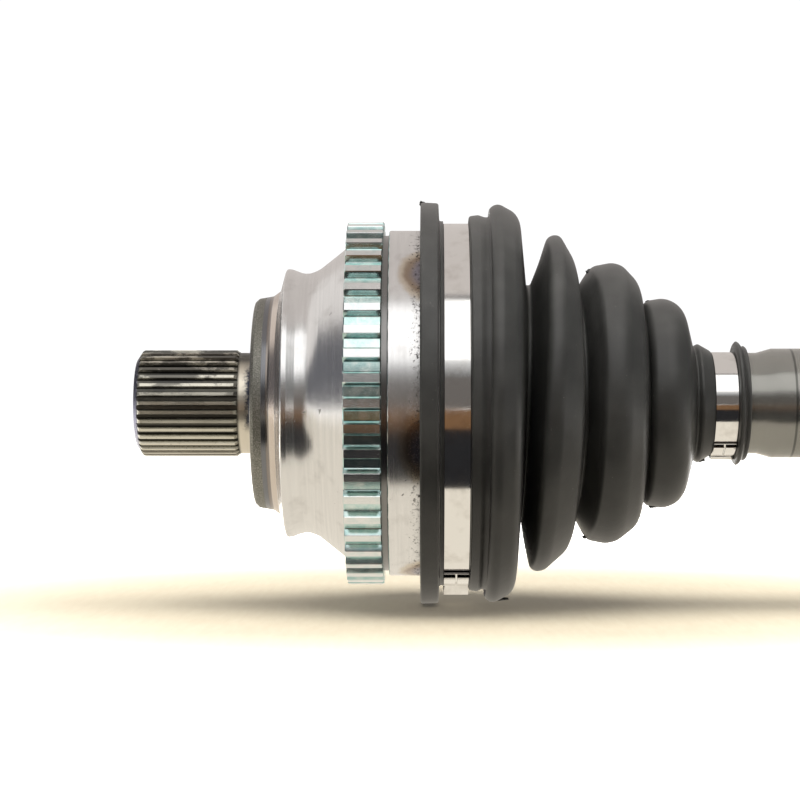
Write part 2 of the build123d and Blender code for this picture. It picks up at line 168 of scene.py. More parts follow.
def between(profile, first_x, last_x):
    """Part of a profile from one x to another, with a point at each end exactly on them."""
    x = profile[:, 0]
    begin = int(np.argmax(x > first_x)) if first_x > x[0] else 0
    end = int(np.argmax(x > last_x)) if last_x < x.max() else len(x)
    part = profile[begin:end]
    if begin:
        part = np.vstack([cut_at(profile, begin, first_x), part])
    if end < len(x):
        part = np.vstack([part, cut_at(profile, end, last_x)])
    return part


def cut_at(profile, index, x):
    """Point at x on the run that ends at index."""
    a, b = profile[index - 1], profile[index]
    return a + (b - a) * (x - a[0]) / (b[0] - a[0])


# %% [markdown]
# ## Surfaces from grids
# A grid of points with rows and columns becomes a mesh of quads. numpy works out all points and all faces
# at once.


# %% Grid to mesh
def quads(rows, columns, wrap_rows, wrap_columns):
    """Corner numbers of every quad of a grid whose rows or columns may close on themselves."""
    r = np.arange(rows if wrap_rows else rows - 1)
    c = np.arange(columns if wrap_columns else columns - 1)
    r, c = np.meshgrid(r, c, indexing="ij")
    down = (r + 1) % rows
    right = (c + 1) % columns
    corners = [r * columns + c, r * columns + right, down * columns + right, down * columns + c]
    return np.stack(corners, axis=-1)


def mesh_piece(name, grids, sharp_deg=38):
    """Object from a list of (points in mm shaped rows x columns x 3, wrap_rows, wrap_columns). Each grid is a
    closed skin, its normals are turned outwards, and edges sharper than sharp_deg stay sharp."""
    points = []
    faces = []
    offset = 0
    for grid, wrap_rows, wrap_columns in grids:
        rows, columns = grid.shape[:2]
        points.append(grid.reshape(-1, 3) * MM)
        faces.append(quads(rows, columns, wrap_rows, wrap_columns).reshape(-1, 4) + offset)
        offset += rows * columns
    mesh = bpy.data.meshes.new(name)
    mesh.from_pydata(np.concatenate(points), [], np.concatenate(faces).tolist())
    work = bmesh.new()
    work.from_mesh(mesh)
    bmesh.ops.remove_doubles(work, verts=work.verts, dist=1e-7)
    bmesh.ops.recalc_face_normals(work, faces=work.faces)
    work.to_mesh(mesh)
    work.free()
    mesh.shade_smooth()
    mesh.set_sharp_from_angle(angle=math.radians(sharp_deg))
    piece = bpy.data.objects.new(name, mesh)
    bpy.context.scene.collection.objects.link(piece)
    print(name, "faces", len(mesh.polygons))
    return piece


def around(profile, angles):
    """Profile (x, r) carried round the axle: point = (x, -r cos t, r sin t) for every angle t."""
    x, r = profile[:, 0][:, None], profile[:, 1][:, None]
    t = np.asarray(angles)[None, :]
    return np.stack([x + 0 * t, -r * np.cos(t), r * np.sin(t)], axis=-1)


def full_turn(count):
    """Angles of a closed circle."""
    return np.linspace(0, TURN, count, endpoint=False)


# %% [markdown]
# ## The outer boot
# The boot is a moulded rubber bellows. It starts at a thick lip on the bell, carries the large clamp in a
# groove, swells into a bead, makes three folds of falling size and ends in a neck with a second clamp. Its
# wall is drawn as two belts, the outside one and a second one inside it on the same pulleys with the wall
# taken off.
#
# When the joint bends, each part of the boot has to follow a different body: the lip stays with the bell,
# the neck with the shaft, and the folds between them share the bend. So the wall is cut in three lengths.

# %% Outer boot profile
BOOT_WALL = 2.4
boot_folds = [
    crest(82.6, 47.9, 2.6),
    crest(83.2, 45.4, 5.4),
    valley(90.2, 31.6, 0.7),
    crest(97.0, 39.3, 3.4),
    crest(100.4, 39.9, 6.0),
    crest(102.6, 37.8, 6.3),
    valley(109.4, 26.8, 0.7),
    crest(112.6, 29.3, 2.6),
    crest(115.5, 29.7, 6.6),
]
boot_outside = belt(
    [corner(low_x("outer_boot"), 49.3), crest(47.6, 57.2, 0.8), crest(51.2, 57.0, 0.7)]
    + [valley(52.6, 51.9, 0.5)]
    + [corner(53.2, 51.9), corner(53.2, 50.4), corner(60.4, 50.4), corner(60.4, 52.0), crest(61.3, 53.4, 0.8)]
    + [crest(62.8, 53.6, 1.2), valley(64.9, 53.0, 2.2), crest(68.0, 56.6, 2.6), crest(69.2, 55.6, 5.0)]
    + [valley(76.3, 33.6, 0.6)]
    + boot_folds
    + [valley(124.5, 16.2, 0.5), crest(125.8, 16.7, 1.0), corner(129.2, 14.9), corner(129.3, 14.0)]
    + [corner(136.0, 14.0), corner(136.0, 16.4), crest(136.8, 17.5, 0.6), corner(137.9, 16.4)]
    + [valley(138.1, 15.9, 0.12), crest(138.8, 16.2, 0.4), corner(139.3, 14.9), corner(139.3, 14.45)]
)
boot_inside = belt(
    [corner(low_x("outer_boot"), 49.3), corner(52.55, 49.3), corner(52.55, 47.46), corner(61.34, 47.46)]
    + [corner(61.34, 48.66), corner(63.2, 48.66), crest(67.8, 53.7, 0.8), crest(69.5, 53.2, 2.6)]
    + [valley(76.3, 32.1, 1.2)]
    + [(x, r, s - BOOT_WALL if s < 0 else max(s - BOOT_WALL, 0.4)) for x, r, s in boot_folds]
    + [valley(122.0, 13.6, 1.2), corner(125.4, 11.86), corner(137.4, 11.86)]
    + [corner(137.4, 14.45), corner(139.3, 14.45)]
)
print("outer boot:", len(boot_outside), "points outside,", len(boot_inside), "inside")


# %% Smooth steps
def smooth(x, start, end):
    """Rises from 0 at start to 1 at end with no corner; start may be the larger."""
    t = np.clip((x - start) / (end - start), 0, 1)
    return t * t * (3 - 2 * t)


# %% Lean of the folds
def no_lean(grid):
    """A boot that stands square to the axle."""
    return grid


def outer_lean(grid):
    """Rubber never stands quite square. x grows by z times a tilt, which is worst at the narrow fold's left
    flank, and by -y times a swing that pushes the same fold's right flank out on the camera's side."""
    x = grid[..., 0]
    tilt = 0.012 * smooth(x, 61.0, 66.0) * smooth(x, 110.0, 98.0)
    tilt = tilt + 0.040 * smooth(x, 73.5, 79.0) * smooth(x, 90.0, 82.5)
    tilt = tilt + 0.010 * smooth(x, 92.0, 97.0) * smooth(x, 109.0, 103.0)
    swing = 0.062 * smooth(x, 82.0, 89.0) * smooth(x, 99.0, 93.0)
    moved = grid.copy()
    moved[..., 0] = x + tilt * grid[..., 2] - swing * grid[..., 1]
    return moved


# %% Flash
FLASH_HIGH = 0.13
FLASH_WIDE_DEG = 1.0


def parting_line(grid, rows):
    """The mould opens along the top and the bottom, so the outer wall, the first rows of the grid, stands out
    by FLASH_HIGH in one thin line there, falling to nothing FLASH_WIDE_DEG to each side."""
    t = np.arctan2(grid[..., 2], -grid[..., 1])
    near = np.clip(1 - np.abs(np.abs(t) - math.pi / 2) / math.radians(FLASH_WIDE_DEG), 0, 1)
    near[rows:] = 0
    r = np.hypot(grid[..., 1], grid[..., 2])
    grow = 1 + FLASH_HIGH * near / r
    return np.stack([grid[..., 0], grid[..., 1] * grow, grid[..., 2] * grow], axis=-1)


def nub(x, r, side, size):
    """Torn scrap of flash: an egg with a lumpy skin, at the top or the bottom of the boot. A point of it is
    (cos u, sin u cos v, sin u sin v) times the lump and size = (half length, half width, half height)."""
    u = np.linspace(0, math.pi, 9)[:, None]
    v = full_turn(10)[None, :]
    lump = 1 + 0.22 * np.sin(3 * v + 2.0 * u + x) + 0.15 * np.cos(5 * u - v * 2)
    egg = np.stack([np.cos(u) + 0 * v, np.sin(u) * np.cos(v), np.sin(u) * np.sin(v)], axis=-1)
    egg = egg * lump[..., None]
    egg[0], egg[-1] = egg[0].mean(axis=0), egg[-1].mean(axis=0)
    return (egg * np.asarray(size) + np.array([x, 0, side * r]), False, True)


# %% Cut a boot in lengths
def boot_length(name, outside, inside, first_x, last_x, turns=288, lean=no_lean, nubs=()):
    """One length of a boot: its outside profile, then the inside one backwards, carried round the axle."""
    outer_part = between(outside, first_x, last_x)
    loop = np.vstack([outer_part, between(inside, first_x, last_x)[::-1]])
    wall = parting_line(around(loop, full_turn(turns)), len(outer_part))
    scraps = [(lean(grid), wrap_rows, wrap_columns) for grid, wrap_rows, wrap_columns in nubs]
    return mesh_piece(name, [(lean(wall), True, True)] + scraps)


SECOND_VALLEY_X = 90.2
THIRD_VALLEY_X = 111.5
BOOT_CUTS = [low_x("outer_boot"), SECOND_VALLEY_X, THIRD_VALLEY_X, high_x("outer_boot")]
OUTER_LENGTHS = (
    ("outer_boot_bead", [
        nub(47.2, 57.0, 1, (0.7, 0.8, 0.9)), nub(47.6, 55.6, 1, (0.5, 0.4, 1.2)),
        nub(70.6, 56.0, -1, (1.9, 0.5, 0.5)),
    ]),
    ("outer_boot_fold", [nub(94.6, 37.6, 1, (1.1, 0.5, 0.7)), nub(95.0, 38.2, -1, (1.4, 0.6, 0.6))]),
    ("outer_boot_neck", [
        nub(112.0, 29.0, 1, (0.9, 0.4, 0.4)), nub(113.0, 29.6, -1, (1.0, 0.4, 0.4)),
        nub(126.9, 16.2, -1, (1.0, 0.5, 0.6)),
    ]),
)
outer_boot_pieces = []
for (name, scraps), first_x, last_x in zip(OUTER_LENGTHS, BOOT_CUTS[:-1], BOOT_CUTS[1:]):
    outer_boot_pieces.append(
        boot_length(name, boot_outside, boot_inside, first_x, last_x, lean=outer_lean, nubs=scraps)
    )

# %% [markdown]
# The three lengths meet in valleys, and each has its placement baked into its mesh.


# %% Bake the outer boot in place
def bend(piece, first, second, start_x, end_x):
    """Bakes the piece's placement into its mesh; the two bodies and the two x in mm are not used."""
    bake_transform(piece)


BEND_START_X = 62.0
BEND_END_X = 125.0
outer_bodies = ["wheel_end", "outer_cage_set", "outer_upright_balls", "shaft"]
outer_blend_ends = [BEND_START_X, SECOND_VALLEY_X, THIRD_VALLEY_X, BEND_END_X]
for index, piece in enumerate(outer_boot_pieces):
    bend(piece, *outer_bodies[index : index + 2], *outer_blend_ends[index : index + 2])
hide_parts("outer_boot")

# %% [markdown]
# ## The inner boot
# The gearbox-end boot is the same kind of bellows, narrow on the shaft and wide on the cup. It bends less,
# but it also stretches and shortens as the joint plunges. Two of its cuts lie in valleys, and the one
# between them on a crest.

# %% Inner boot profile
SMALL_X = low_x("inner_boot")
MOUTH_X = low_x("inner_joint_cup")
FOLD_COUNT = 5
INNER_WALL = 1.8
fold_left = SMALL_X + 18.0
fold_step = (MOUTH_X - 2.0 - fold_left) / FOLD_COUNT
inner_folds = []
for fold in range(FOLD_COUNT):
    rise = fold / (FOLD_COUNT - 1)
    inner_folds.append(crest(fold_left + (fold + 0.35) * fold_step, 25.6 + 13.6 * rise, 1.9))
    inner_folds.append(valley(fold_left + (fold + 0.9) * fold_step, 19.4 + 12.4 * rise, 1.3))
inner_outside = belt(
    [corner(SMALL_X, 15.0), crest(SMALL_X + 0.6, 17.2, 0.5), crest(SMALL_X + 2.0, 17.2, 0.5)]
    + [corner(SMALL_X + 2.6, 14.0), corner(SMALL_X + 10.6, 14.0), crest(SMALL_X + 11.3, 16.8, 0.6)]
    + [valley(SMALL_X + 14.6, 16.6, 1.2)]
    + inner_folds
    + [crest(MOUTH_X - 0.2, 41.0, 0.9), crest(MOUTH_X + 2.0, 41.0, 0.5), corner(MOUTH_X + 2.6, 38.8)]
    + [corner(MOUTH_X + 10.6, 38.8), crest(MOUTH_X + 10.95, 40.6, 0.3), corner(MOUTH_X + 11.3, 36.06)]
)
inner_inside = belt(
    [corner(SMALL_X, 15.0), corner(SMALL_X, 11.86), corner(SMALL_X + 12.0, 11.86)]
    + [valley(SMALL_X + 15.0, 13.6, 2.0)]
    + [(x, r, s - INNER_WALL if s < 0 else max(s - INNER_WALL, 0.3)) for x, r, s in inner_folds]
    + [corner(MOUTH_X - 0.2, 37.46), corner(MOUTH_X + 2.45, 37.46), corner(MOUTH_X + 2.45, 36.06)]
    + [corner(MOUTH_X + 11.3, 36.06)]
)

# %% Inner boot lengths
inner_joins = [fold_left + share * fold_step for share in (1.9, 2.35, 2.9)]
INNER_CUTS = [SMALL_X] + inner_joins + [high_x("inner_boot")]
inner_bodies = ["shaft", "inner_upright_balls", "inner_cage_set", "inner_boot_set", "gearbox_end"]
inner_blend_ends = [SMALL_X + 21.0] + inner_joins + [MOUTH_X - 1.0]
inner_boot_pieces = []
for index, part in enumerate(["neck", "first_fold", "second_fold", "collar"]):
    piece = boot_length(
        "inner_boot_" + part, inner_outside, inner_inside, *INNER_CUTS[index : index + 2], turns=224
    )
    bend(piece, *inner_bodies[index : index + 2], *inner_blend_ends[index : index + 2])
    inner_boot_pieces.append(piece)
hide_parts("inner_boot")

# %% [markdown]
# ## Band clamps
# A boot clamp is one strip of stainless steel, wrapped round the boot with its free end lying over its
# root. A folded ear is pinched shut to draw it tight. The strip is a flat section carried along a path
# round the axle: the path's radius is the seat, lifted where the strip overlaps itself and at the ear.


# %% A strip along a path
def strip(left_x, right_x, inner_r, thick, angles, closed):
    """Flat strip along a path: inner_r is the path's radius at each angle. Its section is a rectangle with
    broken edges, and an open strip ends in flat faces."""
    edge = 0.12
    half = (right_x - left_x) / 2
    middle = (left_x + right_x) / 2
    section = np.array([
        (-half + edge, 0), (half - edge, 0), (half, edge), (half, thick - edge),
        (half - edge, thick), (-half + edge, thick), (-half, thick - edge), (-half, edge),
    ])
    x = middle + section[:, 0][None, :]
    r = np.asarray(inner_r)[:, None] + section[:, 1][None, :]
    t = np.asarray(angles)[:, None]
    grid = np.stack([x + 0 * t, -r * np.cos(t), r * np.sin(t)], axis=-1)
    if not closed:
        heart = grid.mean(axis=1, keepdims=True)
        grid = np.concatenate([heart[:1] + 0 * grid[:1], grid, heart[-1:] + 0 * grid[-1:]])
    return (grid, closed, True)


# %% One clamp
def clamp(name, node, seat_r, thick, ear_high, ear_half_deg):
    """Band with a lapped free end and a pinched ear under the axle."""
    left_x, right_x = low_x(node), high_x(node)
    down = -90.0
    degrees = np.linspace(-180 + down, 180 + down, 721)[:-1]
    off = np.abs(degrees - down)
    ear = smooth(off, ear_half_deg, 0.62 * ear_half_deg)
    pinch = 0.32 * smooth(off, 0.3 * ear_half_deg, 0)
    band_r = seat_r + ear_high * ear * (1 - pinch)
    band = strip(left_x, right_x, band_r, thick, np.radians(degrees), True)
    lap_deg = np.linspace(down + ear_half_deg + 1.0, down + 4.5 * ear_half_deg, 60)
    lap_r = seat_r + thick + 0.02 + 0.35 * thick * smooth(lap_deg, lap_deg[-8], lap_deg[-1])
    lap = strip(left_x, right_x, lap_r, 0.6 * thick, np.radians(lap_deg), False)
    width = right_x - left_x
    tabs = []
    for start, end in ((0.0, 0.47), (0.53, 1.0)):
        tab_deg = np.linspace(down + ear_half_deg + 1.6, down + 3.95 * ear_half_deg, 40)
        tab_r = seat_r + 1.65 * thick + 0.5 * thick * smooth(tab_deg, tab_deg[-8], tab_deg[-1])
        tab_left, tab_right = left_x + start * width, left_x + end * width
        tabs.append(strip(tab_left, tab_right, tab_r, 0.5 * thick, np.radians(tab_deg), False))
    piece = mesh_piece(name, [band, lap] + tabs, 30)
    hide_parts(node)
    return piece


# %% Four clamps
clamps = {
    "outer_clamp_large": clamp("outer_clamp_large", "outer_boot_clamp_large", 50.42, 0.8, 3.4, 5.5),
    "outer_clamp_small": clamp("outer_clamp_small", "outer_boot_clamp_small", 14.02, 0.55, 1.6, 9.0),
    "inner_clamp_large": clamp("inner_clamp_large", "inner_boot_clamp_large", 38.82, 0.8, 3.1, 6.5),
    "inner_clamp_small": clamp("inner_clamp_small", "inner_boot_clamp_small", 14.02, 0.55, 1.6, 9.0),
}
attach(clamps["outer_clamp_large"], "wheel_end")
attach(clamps["outer_clamp_small"], "shaft")
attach(clamps["inner_clamp_large"], "gearbox_end")
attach(clamps["inner_clamp_small"], "shaft")

# %% [markdown]
# ## The toothed ring
# The wheel speed sensor reads a ring of straight teeth. Its outline is one tooth, as radius against angle,
# repeated all the way round, and every edge is broken by a small chamfer, because a plated ring has no
# razor edges.

# %% Toothed ring
RING_TEETH = 48
RING_TIP = 51.7
RING_ROOT = 49.7
RING_SEAT = 46.5
tooth_shape = np.array([
    (-0.5, 0.0), (-0.36, 0.0), (-0.31, 0.0), (-0.275, 0.1), (-0.19, 0.88), (-0.165, 1.0),
    (0.0, 1.0), (0.165, 1.0), (0.19, 0.88), (0.275, 0.1), (0.31, 0.0), (0.36, 0.0),
])
pitch = TURN / RING_TEETH
ring_angle = (np.arange(RING_TEETH)[:, None] + tooth_shape[:, 0][None, :]).ravel() * pitch
ring_rim = RING_ROOT + (RING_TIP - RING_ROOT) * np.tile(tooth_shape[:, 1], RING_TEETH)
ring_left, ring_right = low_x("abs_tone_ring"), high_x("abs_tone_ring")
RING_EDGE = 0.3
INNER_ROW = 3.4
ring_rows = [
    (ring_left, RING_SEAT, 0.0), (ring_left, 0.0, -RING_EDGE),
    (ring_left + RING_EDGE, 0.0, 0.0), (ring_left + INNER_ROW, 0.0, 0.0),
    (ring_right - INNER_ROW, 0.0, 0.0), (ring_right - RING_EDGE, 0.0, 0.0),
    (ring_right, 0.0, -RING_EDGE), (ring_right, RING_SEAT, 0.0),
]
ring_grid = np.stack([
    np.stack([
        x + 0 * ring_angle,
        -(fixed or 1) * np.cos(ring_angle) * (1 if fixed else ring_rim + shift),
        (fixed or 1) * np.sin(ring_angle) * (1 if fixed else ring_rim + shift),
    ], axis=-1)
    for x, fixed, shift in ring_rows
])
tone_ring = mesh_piece("tone_ring_teeth", [(ring_grid, True, True)], 25)
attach(tone_ring, "wheel_end")
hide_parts("abs_tone_ring")

# %% [markdown]
# ## Finishes
# A finish is a small tree of nodes. The helper below keeps each one short: it makes a node, links what it
# is given, and hands back the output. Every pattern is read from Object coordinates in millimetres, so the
# size of a scratch or a speck can be written as it is. Two extra readings suit a round part: the distance
# from the axle, and the direction round it, which has no seam because it is a point on a circle and not an
# angle.


# %% A helper for node trees
class Finish:
    """One Principled material being put together."""

    def __init__(self, name, color, metallic, roughness):
        self.material = bpy.data.materials.new(name)
        self.material.use_nodes = True
        self.tree = self.material.node_tree
        self.shader = self.tree.nodes["Principled BSDF"]
        self.shader.inputs["Base Color"].default_value = (*color, 1)
        self.shader.inputs["Metallic"].default_value = metallic
        self.shader.inputs["Roughness"].default_value = roughness
        place = self.make("ShaderNodeTexCoord").outputs["Object"]
        self.place = self.vector("SCALE", place, scale=1000.0)
        split = self.make("ShaderNodeSeparateXYZ", Vector=self.place)
        self.x, self.y, self.z = split.outputs
        across = self.make("ShaderNodeCombineXYZ", Y=self.y, Z=self.z).outputs[0]
        self.r = self.vector("LENGTH", across)
        self.way = self.vector("NORMALIZE", across)
        self.angle = self.math("ARCTAN2", self.z, self.math("MULTIPLY", self.y, -1.0))

    def make(self, kind, **inputs):
        """New node; each input is a number, a tuple or another node's output."""
        node = self.tree.nodes.new(kind)
        for name, value in inputs.items():
            self.put(node.inputs[name.replace("_", " ")], value)
        return node

    def put(self, socket, value):
        """Link an output, or set a value."""
        if isinstance(value, bpy.types.NodeSocket):
            self.tree.links.new(value, socket)
        else:
            socket.default_value = value

    def math(self, operation, *values, clamp=False):
        """Math node."""
        node = self.make("ShaderNodeMath")
        node.operation = operation
        node.use_clamp = clamp
        for socket, value in zip(node.inputs, values):
            self.put(socket, value)
        return node.outputs[0]

    def vector(self, operation, first, second=None, scale=None):
        """Vector math node."""
        node = self.make("ShaderNodeVectorMath")
        node.operation = operation
        self.put(node.inputs[0], first)
        if second is not None:
            self.put(node.inputs[1], second)
        if scale is not None:
            self.put(node.inputs["Scale"], scale)
        return node.outputs["Value"] if operation == "LENGTH" else node.outputs["Vector"]

    def noise(self, place, scale, detail=3.0, rough=0.55, twist=0.0):
        """Noise from 0 to 1; scale is features per millimetre."""
        return self.make(
            "ShaderNodeTexNoise", Vector=place, Scale=scale, Detail=detail, Roughness=rough, Distortion=twist
        ).outputs["Fac"]

    def window(self, value, low, high, soft):
        """1 where value is between low and high, falling to 0 over soft on both sides."""
        up = self.step(value, low - soft, low)
        down = self.step(value, high + soft, high)
        return self.math("MULTIPLY", up, down)

    def step(self, value, start, end, top=1.0):
        """Smooth ramp from 0 at start to top at end; start may be the larger."""
        node = self.make("ShaderNodeMapRange")
        node.interpolation_type = "SMOOTHSTEP"
        low, high = min(start, end), max(start, end)
        for socket, number in (
            ("From Min", low), ("From Max", high), ("To Min", 0.0 if start < end else top),
            ("To Max", top if start < end else 0.0),
        ):
            node.inputs[socket].default_value = number
        self.put(node.inputs["Value"], value)
        return node.outputs["Result"]

    def blend(self, share, first, second):
        """Mix two colours."""
        node = self.make("ShaderNodeMix")
        node.data_type = "RGBA"
        self.put(node.inputs[0], share)
        for socket, color in ((node.inputs[6], first), (node.inputs[7], second)):
            self.put(socket, color if isinstance(color, bpy.types.NodeSocket) else (*color, 1))
        return node.outputs[2]

    def between(self, share, low, high):
        """Number that goes from low to high as share goes from 0 to 1."""
        return self.math("MULTIPLY_ADD", share, high - low, low)

    def bump(self, height, strength, distance_mm, normal=None):
        """Bump node; chain them through normal."""
        node = self.make("ShaderNodeBump", Height=height, Strength=strength, Distance=distance_mm * MM)
        if normal is not None:
            self.put(node.inputs["Normal"], normal)
        return node.outputs["Normal"]

    def lathe_lines(self, per_mm, along=0.7, detail=2.0):
        """Marks of a lathe tool: noise that is fine along the axle and long round it."""
        reach = self.math("MULTIPLY_ADD", self.r, 1.37, self.x)
        round_it = self.vector("SCALE", self.way, scale=along)
        lines = self.make("ShaderNodeCombineXYZ", X=self.math("MULTIPLY", reach, per_mm)).outputs[0]
        return self.noise(self.vector("ADD", lines, round_it), 1.0, detail)

    def finish(self, color=None, roughness=None, normal=None):
        """Link what varies to the shader."""
        for socket, value in (("Base Color", color), ("Roughness", roughness), ("Normal", normal)):
            if value is not None:
                self.tree.links.new(value, self.shader.inputs[socket])
        return self.material


# %% [markdown]
# ### Rubber
# Moulded rubber is dark grey rather than black. It has a fine matt grain, cloudy patches where the mould
# release dried, pale dust specks, and short scuffs on its crests. The specks are the sparse peaks of a fine
# noise.


# %% Boot rubber
def boot_rubber():
    """Satin dark rubber with dust and scuffs."""
    f = Finish("boot_rubber_finish", (0.035, 0.036, 0.038), 0.0, 0.55)
    cloud = f.noise(f.place, 0.09, 4.0)
    grain = f.noise(f.place, 2.2, 3.0)
    dust = f.step(f.noise(f.place, 1.15, 2.0, 0.7), 0.72, 0.80)
    flow = f.lathe_lines(1.6, 0.9)
    scuff_place = f.vector("MULTIPLY", f.place, (0.5, 1.0, 3.2))
    scuff = f.step(f.noise(scuff_place, 0.35, 5.0, 0.7, 0.6), 0.70, 0.80)
    base = f.blend(f.step(cloud, 0.3, 0.75), (0.015, 0.015, 0.0145), (0.024, 0.024, 0.023))
    base = f.blend(f.math("MULTIPLY", dust, 0.55), base, (0.22, 0.21, 0.20))
    base = f.blend(f.math("MULTIPLY", scuff, 0.35), base, (0.13, 0.13, 0.125))
    rough = f.between(cloud, 0.34, 0.46)
    normal = f.bump(grain, 0.25, 0.06)
    normal = f.bump(flow, 0.12, 0.08, normal)
    normal = f.bump(cloud, 0.15, 0.8, normal)
    f.shader.inputs["Specular IOR Level"].default_value = 0.38
    return f.finish(base, rough, normal)


rubber = boot_rubber()

# %% [markdown]
# ### Clamp steel
# Stainless strip is nearly a mirror. Rolling leaves faint lines along it, handling leaves smudges that are
# a little duller, and there are a few pits and gritty marks.


# %% Clamp steel
def clamp_steel():
    """Bright rolled stainless strip."""
    f = Finish("clamp_steel_finish", (0.74, 0.72, 0.68), 1.0, 0.1)
    smudge = f.noise(f.place, 0.16, 3.0)
    rolled = f.noise(f.vector("MULTIPLY", f.place, (6.0, 0.12, 0.12)), 1.0, 2.0)
    grit = f.noise(f.vector("MULTIPLY", f.place, (3.5, 1.0, 1.0)), 1.2, 3.0, 0.7)
    pits = f.step(f.noise(f.place, 2.6, 2.0, 0.6), 0.73, 0.8)
    base = f.blend(f.step(smudge, 0.45, 0.8), (0.80, 0.79, 0.77), (0.66, 0.64, 0.61))
    base = f.blend(f.math("MULTIPLY", pits, 0.5), base, (0.16, 0.14, 0.12))
    rough = f.math("ADD", f.between(smudge, 0.04, 0.16), f.between(f.step(grit, 0.5, 0.8), 0.0, 0.12))
    normal = f.bump(rolled, 0.05, 0.05)
    return f.finish(base, rough, normal)


bright_strip = clamp_steel()

# %% [markdown]
# ### Zinc plating
# The toothed ring is zinc plated and passivated. The film shows pale teal in the gaps and on the flanks,
# where a darker teal is painted shade, while the lands that touch things are worn to bare bright metal with
# scratches. The distance from the axle tells them apart.


# %% Plated ring
def plated_ring():
    """Blue-green zinc in the gaps, rubbed bright on the lands."""
    f = Finish("plated_ring_finish", (0.62, 0.68, 0.68), 1.0, 0.25)
    land = f.step(f.r, RING_TIP - 0.35, RING_TIP - 0.1)
    film = f.noise(f.place, 0.35, 4.0)
    scratch = f.noise(f.vector("MULTIPLY", f.place, (0.35, 3.0, 3.0)), 1.4, 3.0, 0.7)
    wear = f.math("MULTIPLY", land, f.step(f.math("ADD", film, f.math("MULTIPLY", scratch, 0.4)), 0.45, 0.78))
    spots = f.step(f.noise(f.place, 0.8, 4.0, 0.75), 0.68, 0.76)
    # painted shade: the tooth flanks are turned a darker teal
    flank = f.window(f.r, RING_ROOT + 0.12, RING_TIP - 0.25, 0.1)
    teal = f.blend(f.step(film, 0.35, 0.7), (0.46, 0.64, 0.62), (0.68, 0.78, 0.75))
    teal = f.blend(f.math("MULTIPLY", flank, 0.30), teal, (0.26, 0.38, 0.37))
    bare = f.blend(scratch, (0.86, 0.86, 0.85), (0.68, 0.68, 0.68))
    base = f.blend(f.math("MULTIPLY_ADD", wear, 0.4, f.math("MULTIPLY", land, 0.55)), teal, bare)
    base = f.blend(f.math("MULTIPLY", spots, 0.7), base, (0.07, 0.08, 0.07))
    rough = f.math("ADD", f.between(film, 0.14, 0.3), f.math("MULTIPLY", spots, 0.3))
    normal = f.bump(scratch, 0.12, 0.06)
    normal = f.bump(spots, -0.25, 0.08, normal)
    return f.finish(base, rough, normal)


zinc = plated_ring()

# %% [markdown]
# ### The forged and turned housing
# One forging carries several finishes, and each sits at its own place along the axle, so its node tree
# mixes them by x and by radius. The stub is oily and olive, with black grease in the tooth gaps. The
# collar's edge is a rough as-forged skin. The bell is turned bright, and where the boot's lip meets it a
# heat-treatment coil has left round tint marks: blue in the middle, straw at the rim, one for each ball
# track.

# %% Numbers of the housing's finish
TRACKS = 6
TINT_FIRST = math.radians(46.0)
TINT_X = 48.6
TINT_LONG = 11.5
TINT_REACH = 8.5
BELL_R = 49.2


# %% Heat tint
def heat_tint(f):
    """How near a point is to a tint mark, 1 at its heart and 0 outside. The mark is an ellipse with a ragged
    edge."""
    slot_angle = TURN / TRACKS
    shifted = f.math("ADD", f.angle, 0.5 * slot_angle - TINT_FIRST + TURN)
    turn = f.math("ADD", f.math("MODULO", shifted, slot_angle), -0.5 * slot_angle)
    side = f.math("MULTIPLY", turn, BELL_R / TINT_LONG)
    back = f.math("MULTIPLY", f.math("ADD", f.x, -TINT_X), 1.0 / TINT_REACH)
    far = f.math("SQRT", f.math("ADD", f.math("MULTIPLY", side, side), f.math("MULTIPLY", back, back)))
    ragged = f.math("MULTIPLY_ADD", f.noise(f.place, 0.3, 3.0), 0.24, far)
    return f.math("SUBTRACT", 1.16, ragged, clamp=True)


